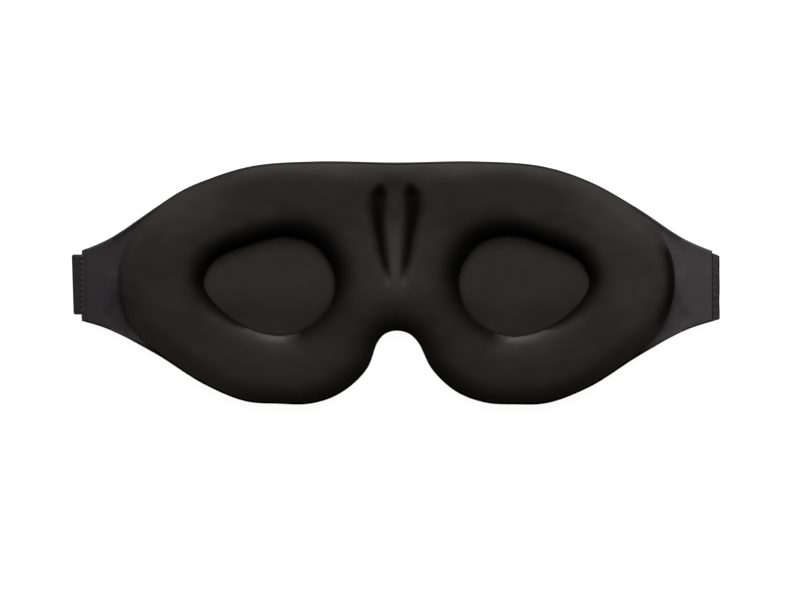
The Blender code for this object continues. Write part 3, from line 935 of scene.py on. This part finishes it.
# Each cloth's two dyes and what else sets it apart.
CLOTHS = {
    "face_jersey": ((0.0096, 0.0089, 0.0085), (0.0118, 0.0109, 0.0104), {"moulded": True}),
    "cup_jersey": ((0.0180, 0.0167, 0.0155), (0.0212, 0.0196, 0.0182), {}),
    "outer_cloth": (
        (0.011, 0.011, 0.0115), (0.014, 0.0135, 0.0135),
        {"roughness": 0.78, "moulded": True},
    ),
    "wing_cloth": ((0.0125, 0.0115, 0.0122), (0.0150, 0.0138, 0.0146), {}),
    "seam_thread": ((0.0065, 0.0060, 0.0060), (0.0085, 0.0080, 0.0080), {"roughness": 0.75}),
    "hem_tape": (
        (0.0070, 0.0066, 0.0066), (0.0100, 0.0094, 0.0094),
        {"roughness": 0.75, "pitch": (0.9, 0.35)},
    ),
    "elastic": (
        (0.0120, 0.0118, 0.0120), (0.0160, 0.0155, 0.0158),
        {"roughness": 0.8, "pitch": (0.55, 1.1), "relief": 0.07, "join": "MAXIMUM"},
    ),
    "hook": (
        (0.016, 0.016, 0.0165), (0.020, 0.020, 0.0205),
        {"roughness": 0.5, "sheen": 0.0, "specular": 0.35},
    ),
    "loop": (
        (0.010, 0.010, 0.010), (0.016, 0.0155, 0.0155),
        {"roughness": 0.95, "sheen": 0.5, "relief": 0.2, "mottle": 400.0},
    ),
    "moulded_foam": (
        (0.03, 0.03, 0.031), (0.04, 0.04, 0.04),
        {"roughness": 0.95, "sheen": 0.0},
    ),
    "blackout_film": (
        (0.008, 0.008, 0.009), (0.010, 0.010, 0.011),
        {"roughness": 0.5, "sheen": 0.0, "specular": 0.4},
    ),
}
MATERIALS = {slot: cloth(slot, dark, pale, **more) for slot, (dark, pale, more) in CLOTHS.items()}


def dress(obj, slot, *nodes):
    """Gives a piece the material of its slot, and hides the CAD nodes that it stands for."""
    obj.data.materials.clear()
    obj.data.materials.append(MATERIALS[slot])
    if nodes:
        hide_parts(*nodes)
    return obj


def dress_mask(obj, slot, *nodes):
    """Dresses a finished piece of the mask itself, and moves it off its symmetrical shape."""
    move_off_true(obj)
    return dress(obj, slot, *nodes)


def both(kind):
    """The names of the right and left CAD nodes of one kind."""
    return [f"right_{kind}", f"left_{kind}"]


def bend_at_bridge(obj):
    """Bakes a piece's placement into its mesh. The mask folds over the nose bridge, but the piece is not
    turned here.
    """
    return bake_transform(obj)


def bend_at_wing(obj):
    """Bakes a piece's placement into its mesh. The wing flexes beside the pad, but the piece is not
    turned here.
    """
    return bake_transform(obj)


# ---------------------------------------------------------------- the padded halves

def stations(inset):
    """Plan points round a half: the pad's edge drawn in by inset, then up the centre line."""
    foot = resample(pad_outline(inset), FOOT_COUNT)
    centre = resample(np.vstack([foot[-1], foot[0]]), CENTRE_COUNT)[1:-1]
    return np.vstack([foot, centre])


def plan_rings(outer, inner_share, shares):
    """Rings of plan points between the eye cup's edge, scaled by inner_share, and an outer ring."""
    angle, radius = polar(outer)
    start = reach_of(EYE_CUP_LOOP, angle) * inner_share
    ray = np.column_stack([np.cos(angle), np.sin(angle)])
    return [EYE_CENTRE + ray * (start + (radius - start) * s)[:, None] for s in shares]


def both_ends(count):
    """Shares from 0 to 1, closer together at both ends."""
    return 0.5 - 0.5 * np.cos(np.linspace(0, math.pi, count))


def with_height(plan, height):
    """Points in space over plan points."""
    return np.column_stack([plan, np.broadcast_to(height, len(plan))])


def make_face_cover():
    """The knit laminated over both pads and down the cup walls, in one piece over the bridge."""
    outer = stations(0.0)
    rings = plan_rings(outer, 1.0, both_ends(RING_COUNT))
    rows = [with_height(r, face_height(r)) for r in rings]
    tucked = rings[0] + (EYE_CENTRE - rings[0]) * 0.002
    rows.insert(0, with_height(tucked, FLANGE_TOP - 0.7))
    foot = outer[: FOOT_COUNT + 1]
    inwards = -sideways(foot)
    inwards[0] = (0.0, -1.0)
    inwards[-1] = (0.0, 1.0)
    under = [rows[-1][: FOOT_COUNT + 1]]
    for inset, drop in COVER_ROLL:
        under.append(with_height(foot + inwards * inset, FLANGE_TOP - drop))
    obj = both_halves("face_cover", *gathered([loft(rows), loft(under, closed=False)]))
    mend(obj, MEET, upward=True)
    thicken(obj, COVER_THICK)
    # Painted shade in the hollows and at the rims, and painted highlights.
    tone(obj, face_painted_shade_and_light)
    dress_mask(obj, "face_jersey", *both("inner_cover"))
    return obj


def make_cup_floor(side):
    """The flat cloth floor of one eye cup, with its edge turned down into the crease."""
    steps = 260
    angle, radius = polar(resample(EYE_CUP_LOOP, steps)[:-1])
    ray = np.column_stack([np.cos(angle), np.sin(angle)])

    def ring(plan_radius, drop):
        plan = EYE_CENTRE + ray * plan_radius[:, None]
        crown = CUP_CROWN * (1 - (plan_radius / radius) ** 2)
        return with_height(plan, FLANGE_TOP + crown - drop + 0.05 * waves(plan, 16.0, 11))

    rows = [ring((radius - 0.9) * share, 0.0) for share in np.linspace(0.04, 1, 26)]
    for inset, drop in FLOOR_TURN:
        rows.append(ring(radius - inset, drop))
    rows.append(ring(radius * 0.04, 1.0 + CUP_CROWN))
    verts, faces = tube(rows)
    obj = mend(make_object(f"{side}_cup_floor", verts * MIRROR[side], faces))
    # Darker towards the cheek, and painted shade in the crease at the nose.
    tone(obj, floor_tone)
    dress_mask(obj, "cup_jersey", f"{side}_eye_cup_panel")
    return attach(obj, f"{side}_half")


def make_foam():
    """The moulded foam under the cover, one body over the bridge, with the two cups sunk in it."""
    outer = stations(FOAM_INSET)
    floor = FLANGE_TOP - FOAM_UNDER_CUP
    rings = plan_rings(outer, 1.0, both_ends(30))
    middle = plan_rings(outer, CORE_SHARE, [0.0])
    top = [with_height(r, floor) for r in middle + rings[:1]]
    top += [with_height(r, np.maximum(face_height(r) - FOAM_UNDER_FACE, floor)) for r in rings[1:]]
    low = [with_height(r, outer_height(r) + FOAM_INSET) for r in middle + rings]
    wall = len(low) - 1
    verts, faces = loft(low + top[::-1], skip=[(wall, i) for i in range(FOOT_COUNT, len(outer))])
    count = len(outer)
    faces.append(tuple(range(count)))
    faces.append(tuple(len(verts) - 1 - i for i in range(count)))
    obj = mend(both_halves("foam_pad", verts, faces), MEET)
    return dress_mask(obj, "moulded_foam", *both("foam_core"))


def make_flat_layer(name, slot, kind, thickness, inset=0.0, lift=0.0):
    """A layer of cloth or film that follows the domed outer side, in one piece over the bridge."""
    outer = stations(inset)
    rings = plan_rings(outer, CORE_SHARE, both_ends(40))
    verts, faces = loft([with_height(r, outer_height(r) + lift) for r in rings])
    faces.append(tuple(range(len(outer))))
    obj = mend(both_halves(name, verts, faces), MEET, upward=False)
    thicken(obj, thickness)
    return dress_mask(obj, slot, *both(kind))


def make_edge_welt(name, edge, outward, kind):
    """The turned edge where the two covers meet, all along one side of the mask."""
    path = shifted(edge, outward * WELT_INSET)
    path = path[path[:, 0] < WELT_END_X]
    path[0, 0] = 0.0
    path = resample(path, 170)
    whole = np.vstack([(path * (-1, 1))[:0:-1], path])
    obj = cord_band(name, with_height(whole, FLANGE_MIDDLE), *WELT_HALF)

    # Along the wings the welts carry painted light: the right wing's and more of their own.
    def welt_tone(plan):
        at_wing = ramp(np.abs(plan[:, 0]), 84.0, 98.0)
        wing = np.where(plan[:, 0] > 0, WING_DARKER["right"], WING_DARKER["left"])
        wing = wing - np.where(plan[:, 1] > 0, WING_WELT_PAINTED_LIGHT["brow"], WING_WELT_PAINTED_LIGHT["cheek"])
        return -WELT_LIGHTER + (wing + WELT_LIGHTER) * at_wing

    tone(obj, welt_tone)
    return bend_at_bridge(dress_mask(obj, "seam_thread", *both(kind)))


# ---------------------------------------------------------------- the wings

def wing_rows(xs, height):
    """The cheek-side and brow-side ends of cuts across the wing at distances from the centre."""
    low = np.column_stack([xs, height_at(CHEEK, xs) + WING_INSET, height])
    high = np.column_stack([xs, height_at(BROW, xs) - WING_INSET, height])
    return low, high


def simulated_slack(low, high, seed):
    """How far a wing's cloth stands off its flat cut, in millimetres, from a cloth simulation.

    The cut is a little too large for the edges that hold it, so it buckles gently between them.
    The simulation runs at a hundred times the size, where the cloth solver is steady.
    """
    columns = SIM_COLUMNS
    share = np.linspace(0, 1, columns)
    rows = [a + (b - a) * share[:, None] for a, b in zip(low, high)]
    verts, faces = loft(rows, closed=False)
    verts[:, 2] -= verts[0, 2]
    verts[:, 2] += 0.02 * waves(verts[:, :2], 12.0, seed)
    obj = make_object("wing_simulation", verts * SIM_SCALE, faces)
    number = np.arange(len(verts)).reshape(len(rows), columns)
    inside = set(number[1:-1, 1:-1].ravel())
    edge = [i for i in range(len(verts)) if i not in inside]
    obj.vertex_groups.new(name="held").add(edge, 1.0, "REPLACE")
    cloth_sim = obj.modifiers.new("cloth", "CLOTH")
    settings = cloth_sim.settings
    settings.vertex_group_mass = "held"
    settings.shrink_min = -SIM_SLACK
    settings.bending_stiffness = 4.0
    settings.effector_weights.gravity = 0.0
    scene = bpy.context.scene
    for moment in range(1, SIM_FRAMES + 1):
        scene.frame_set(moment)
    graph = bpy.context.evaluated_depsgraph_get()
    lift = coordinates(obj.evaluated_get(graph).data)[:, 2].reshape(number.shape) / MM / SIM_SCALE
    scene.frame_set(1)
    bpy.data.objects.remove(obj)
    return np.clip(lift, -SIM_CAP, SIM_CAP), share


def make_wing_layer(side, kind, middle, slack, seed, dip):
    """One of the wing's two cloth layers, from under the pad out to the hem."""
    end = span_out(f"{side}_wing_face_layer")[1]
    xs = np.linspace(WING_ROOT_X, end + 0.6, 60)
    beyond_pad = smoothstep((xs - TEMPLE_CENTRE[0] - TEMPLE_RADIUS) / 6.0)
    low, high = wing_rows(xs, middle - dip * (1 - beyond_pad))
    simulated = simulated_slack(low, high, seed)

    def ripple(along, across):
        if simulated is None:
            points = np.column_stack([np.full(len(across), along * 27.0), across * 30.0])
            return slack * waves(points, 13.0, seed) * np.sin(math.pi * across)
        lift, share = simulated
        stops = np.linspace(0, 1, len(lift))
        return np.interp(across, share, [np.interp(along, stops, column) for column in lift.T])

    edges = low * MIRROR[side], high * MIRROR[side]
    obj = band(f"{side}_wing_{kind}", *edges, (0, 0, 1), WING_CLOTH, columns=36, rim=0.4, lift=ripple)

    # Painted light: the right wing lighter, and lighter in the cheek-side corner where the pad shades it.
    def wing_tone(plan):
        corner = ramp(np.abs(plan[:, 0]), 101.0, 95.0) * ramp(plan[:, 1], -12.0, -18.0)
        return WING_DARKER[side] - WING_CORNER_PAINTED_LIGHT[side] * corner

    tone(obj, wing_tone)
    dress_mask(obj, "wing_cloth", f"{side}_wing_{kind}_layer")
    return bend_at_wing(obj)


def make_wing_welts(side):
    """The turned edges along the wing's two sides, carrying on from the mask's."""
    end = span_out(f"{side}_wing_end_hem")[0] + 0.8
    for kind, edge, outward in (("brow", BROW, -1), ("cheek", CHEEK, 1)):
        path = shifted(edge, outward * WELT_INSET)
        path = path[(path[:, 0] >= WELT_END_X - WELT_OVERLAP) & (path[:, 0] < end)]
        path = resample(path, 60) * (SIGN[side], 1)
        path = with_height(path, FLANGE_MIDDLE)
        obj = cord_band(f"{side}_wing_{kind}_welt", path, *WING_WELT_HALF)
        # Painted light, as on the wing's cloth.
        tone(obj, WING_DARKER[side] - WING_WELT_PAINTED_LIGHT[kind])
        bend_at_wing(dress_mask(obj, "seam_thread"))


def make_hem(side):
    """The hem folded over the wing's end, a rounded bar with the seam's pull in it."""
    start, end = span_out(f"{side}_wing_end_hem")
    share = np.linspace(0, 1, 60)
    edges = []
    for x in (start - 0.5, end):
        low, high = height_at(CHEEK, x) - 0.1, height_at(BROW, x) - HEM_INSET[side]
        sway = 0.06 * waves(np.column_stack([share * 24, np.full(60, x)]), 7.0, 21)
        plan = np.column_stack([x + sway, low + (high - low) * share])
        edges.append(with_height(plan, FLANGE_MIDDLE) * MIRROR[side])

    def pulled(along, across):
        return 0.05 * math.sin(2 * math.pi * along * 9) * np.sin(math.pi * across)

    # A painted shadow line along the inner edge, where the hem meets the wing.
    def hem_tone(plan):
        in_line = np.abs(plan[:, 0]) < start + HEM_LINE
        return HEM_DARKER[side] + HEM_PAINTED_SHADOW * in_line

    obj = band(f"{side}_hem", *edges, (0, 0, 1), HEM_THICK, columns=14, rim=0.8, lift=pulled)
    tone(obj, hem_tone)
    dress_mask(obj, "hem_tape", f"{side}_wing_end_hem")
    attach(obj, f"{side}_wing")
    for number, out in enumerate(HEM_ROWS[side]):
        x = end - out
        low, high = height_at(CHEEK, x) + 1.0, height_at(BROW, x) - 1.0
        top = FLANGE_MIDDLE + HEM_THICK / 2
        path = [(SIGN[side] * x, y, top) for y in np.linspace(low, high, 30)]
        name = f"{side}_hem_stitches_{number + 1}"
        thread = stitches(name, path, (0, 0, 1), pitch=1.9, share=0.7, radius=0.17)
        tone(thread, HEM_THREAD_DARKER[side])
        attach(dress_mask(thread, "hem_tape"), f"{side}_wing")


# ---------------------------------------------------------------- the straps

def strap_path(side):
    """The strap's middle line seen from the cheek side, as distances from the centre and heights."""
    def layer(kind):
        node_name = f"{side}_{kind}"
        return *span_out(node_name), (low_corner(node_name)[2] + high_corner(node_name)[2]) / 2

    start_x, _, anchor_z = layer("strap_anchor")
    turn_x, _, inner_z = layer("strap_inner_run")
    _, tip_x, tip_z = layer("strap_outer_run")
    swing_x = abs(axis_of(f"{side}_strap_swing")[0])
    return start_x, anchor_z, turn_x, inner_z, tip_x, tip_z, swing_x


def arc(centre_x, high_z, low_z, outward):
    """A half circle in the strap's side view, from its high end down to its low one."""
    radius = (high_z - low_z) / 2
    turn = np.linspace(math.pi / 2, -math.pi / 2, 16)
    return np.column_stack([
        centre_x + outward * radius * np.cos(turn),
        (high_z + low_z) / 2 + radius * np.sin(turn),
    ])


def straight(x_from, x_to, z_from, z_to, pitch=1.0):
    """Points along a straight stretch in the strap's side view, without its last point."""
    count = max(2, int(abs(x_to - x_from) / pitch)) + 1
    return np.column_stack([np.linspace(x_from, x_to, count), np.linspace(z_from, z_to, count)])[:-1]


def make_strap(name, side, path, tilt=0.0, darker=0.0):
    """A stretch of ribbed elastic along a line in its side view."""
    low, high = low_corner(f"{side}_strap_inner_run"), high_corner(f"{side}_strap_inner_run")
    run = np.gradient(path, axis=0)
    normals = np.column_stack([-run[:, 1], np.zeros(len(run)), run[:, 0]])
    edges = []
    for y in (low[1], high[1]):
        lean = tilt * (y + TILT_ABOUT) * ramp(path[:, 0], TILT_FROM, TILT_TO)
        edge = np.column_stack([path[:, 0] + lean, np.full(len(path), y), path[:, 1]])
        edges.append(edge * MIRROR[side])
    thick, columns = high[2] - low[2], STRAP_RIBS * 4 + 1
    normals = normals * MIRROR[side]
    obj = band(name, *edges, normals, thick, columns, rim=0.3, ribs=STRAP_RIBS)
    tone(obj, darker)
    return dress(obj, "elastic")


def make_straps(side):
    """The strap in two stretches: sewn end with the fold beside it, and the rest with its own."""
    start_x, anchor_z, turn_x, inner_z, tip_x, tip_z, swing_x = strap_path(side)
    root = np.vstack([
        straight(start_x, swing_x, anchor_z + 0.35, anchor_z),
        arc(swing_x, anchor_z, inner_z, 1),
        straight(swing_x, STRAP_SPLIT_X - 1.0, inner_z, inner_z)[1:],
    ])
    obj = make_strap(f"{side}_strap_root", side, root, TILT[side], STRAP_ROOT_DARKER)
    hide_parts(f"{side}_strap_anchor")
    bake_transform(obj)

    tail = np.vstack([
        straight(STRAP_SPLIT_X, turn_x, inner_z, inner_z, 1.5),
        arc(turn_x, inner_z, tip_z, -1),
        straight(turn_x, tip_x + 0.01, tip_z, tip_z, 1.5)[1:],
    ])
    obj = make_strap(f"{side}_strap_tail", side, tail)
    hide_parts(f"{side}_strap_inner_run", f"{side}_strap_outer_run")
    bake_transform(obj)


def make_patch(side):
    """The strap tip's half of the hook-and-loop closure, sewn on all round."""
    kind, up = PATCHES[side]
    low, high = low_corner(f"{side}_{kind}_patch"), high_corner(f"{side}_{kind}_patch")
    thick = high[2] - low[2]
    base = thick * PATCH_BASE[kind]
    middle = (low[2] + high[2]) / 2 - up * (thick - base) / 2
    face = middle + up * base / 2
    xs = np.linspace(low[0], high[0], 120)
    edges = [[(x, y, middle) for x in xs] for y in (low[1], high[1])]

    def nap(along, across):
        points = np.column_stack([np.full(len(across), along * 68.0), across * 20.0])
        inside = smoothstep(np.minimum(across, 1 - across) * 12)
        inside = inside * smoothstep(min(along, 1 - along) * 40)
        return 0.10 * waves(points, 2.2, 31, 12) * inside

    lift = None if kind == "hook" else nap
    obj = band(f"{side}_{kind}_tape", *edges, (0, 0, up), base, columns=44, rim=0.5, lift=lift)
    dress(obj, kind, f"{side}_{kind}_patch")
    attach(obj, f"{side}_strap_tip")
    (x0, y0), (x1, y1) = low[:2] + PATCH_MARGIN, high[:2] - PATCH_MARGIN
    corners = np.array([(x0, y0), (x1, y0), (x1, y1), (x0, y1), (x0, y0)])
    path = with_height(corners, face + 0.02 * up)
    name = f"{side}_{kind}_stitches"
    thread = stitches(name, path, (0, 0, up), pitch=2.2, share=0.68, radius=0.15)
    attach(dress(thread, "seam_thread"), f"{side}_strap_tip")
    if kind == "hook":
        make_hooks(side, low, high, face, thick - base)


def make_hooks(side, low, high, face, tall):
    """Rows of small moulded hooks, each a stem that leans over at its top."""
    turn = np.linspace(0, 2 * math.pi, 4, endpoint=False) + math.pi / 4
    ring = np.column_stack([np.cos(turn), np.sin(turn), np.zeros(4)])
    columns = np.arange(low[0] + HOOK_BORDER, high[0] - HOOK_BORDER, HOOK_PITCH)
    parts = []
    for row, y in enumerate(np.arange(low[1] + HOOK_BORDER, high[1] - HOOK_BORDER, HOOK_PITCH)):
        lean = 1 if row % 2 else -1
        for x in columns:
            rings = []
            for over, share, radius in HOOK_RINGS:
                rings.append(np.array((x + lean * over, y, face + share * tall)) + radius * ring)
            parts.append(tube(rings))
    obj = mend(make_object(f"{side}_hooks", *gathered(parts)))
    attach(dress(obj, "hook"), f"{side}_strap_tip")


# ---------------------------------------------------------------- the stage

def make_floor():
    """A pale floor that stays white where the mask shades it."""
    bpy.ops.mesh.primitive_plane_add(size=6.0, location=(0, 0, -0.0003))
    floor = bpy.context.active_object
    floor.name = "floor"
    material, _, _, shader = new_material("pale_floor", (0.12, 0.12, 0.12), 0.9)
    set_inputs(shader, {"Emission Color": (1.0, 1.0, 0.997, 1.0), "Emission Strength": 0.95})
    floor.data.materials.append(material)


def make_camera():
    """Straight over the mask, with the mask a little above the middle of the picture."""
    data = bpy.data.cameras.new("camera")
    data.lens = 100.0
    data.sensor_width = 36.0
    camera = bpy.data.objects.new("camera", data)
    bpy.context.collection.objects.link(camera)
    distance = data.lens / data.sensor_width * PICTURE_WIDTH
    camera.location = (0.0013, -0.0056, FLANGE_TOP * MM + distance)
    bpy.context.scene.camera = camera


def make_light(name, direction, distance, size, irradiance):
    """A soft light that gives a surface facing it that irradiance, as a share of pi."""
    data = bpy.data.lights.new(name, "AREA")
    data.shape = "RECTANGLE"
    data.size, data.size_y = size
    data.energy = irradiance * (math.pi * distance) ** 2
    lamp = bpy.data.objects.new(name, data)
    bpy.context.collection.objects.link(lamp)
    lamp.location = Vector(direction).normalized() * distance
    lamp.rotation_mode = "QUATERNION"
    lamp.rotation_quaternion = lamp.location.to_track_quat("Z", "Y")


def make_lights():
    """A large low light beyond the brow, a weak one overhead and a dim white room."""
    world = bpy.data.worlds.new("studio")
    bpy.context.scene.world = world
    world.use_nodes = True
    sky = world.node_tree.nodes["Background"]
    set_inputs(sky, {"Color": (1.0, 1.0, 1.0, 1.0), "Strength": 0.15})
    make_light("overhead", (0.0, 0.47, 0.88), 1.4, (0.9, 0.9), 1.35)
    make_light("low_key", (0.0, 0.98, 0.21), 1.3, (1.2, 0.35), 3.3)
    bpy.context.scene.view_settings.view_transform = "Standard"


def main():
    make_camera()
    make_floor()
    make_lights()
    bend_at_bridge(make_face_cover())
    bend_at_bridge(make_foam())
    outer = make_flat_layer("outer_cover", "outer_cloth", "outer_cover", thickness=0.6)
    bend_at_bridge(outer)
    liner = make_flat_layer("blackout_liner", "blackout_film", "blackout_liner", 0.4, inset=1.6, lift=0.9)
    bend_at_bridge(liner)
    make_edge_welt("brow_welt", BROW, -1, "brow_edge_seam")
    make_edge_welt("cheek_welt", CHEEK, 1, "cheek_edge_seam")
    for side in SIGN:
        make_cup_floor(side)
        make_wing_layer(side, "face", FLANGE_TOP - WING_CLOTH / 2 - WING_GAP, 0.10, 41, 0.35)
        make_wing_layer(side, "back", FLANGE_LOW + WING_CLOTH / 2 + WING_GAP, 0.06, 43, -0.1)
        make_wing_welts(side)
        make_hem(side)
        make_straps(side)
        make_patch(side)


main()
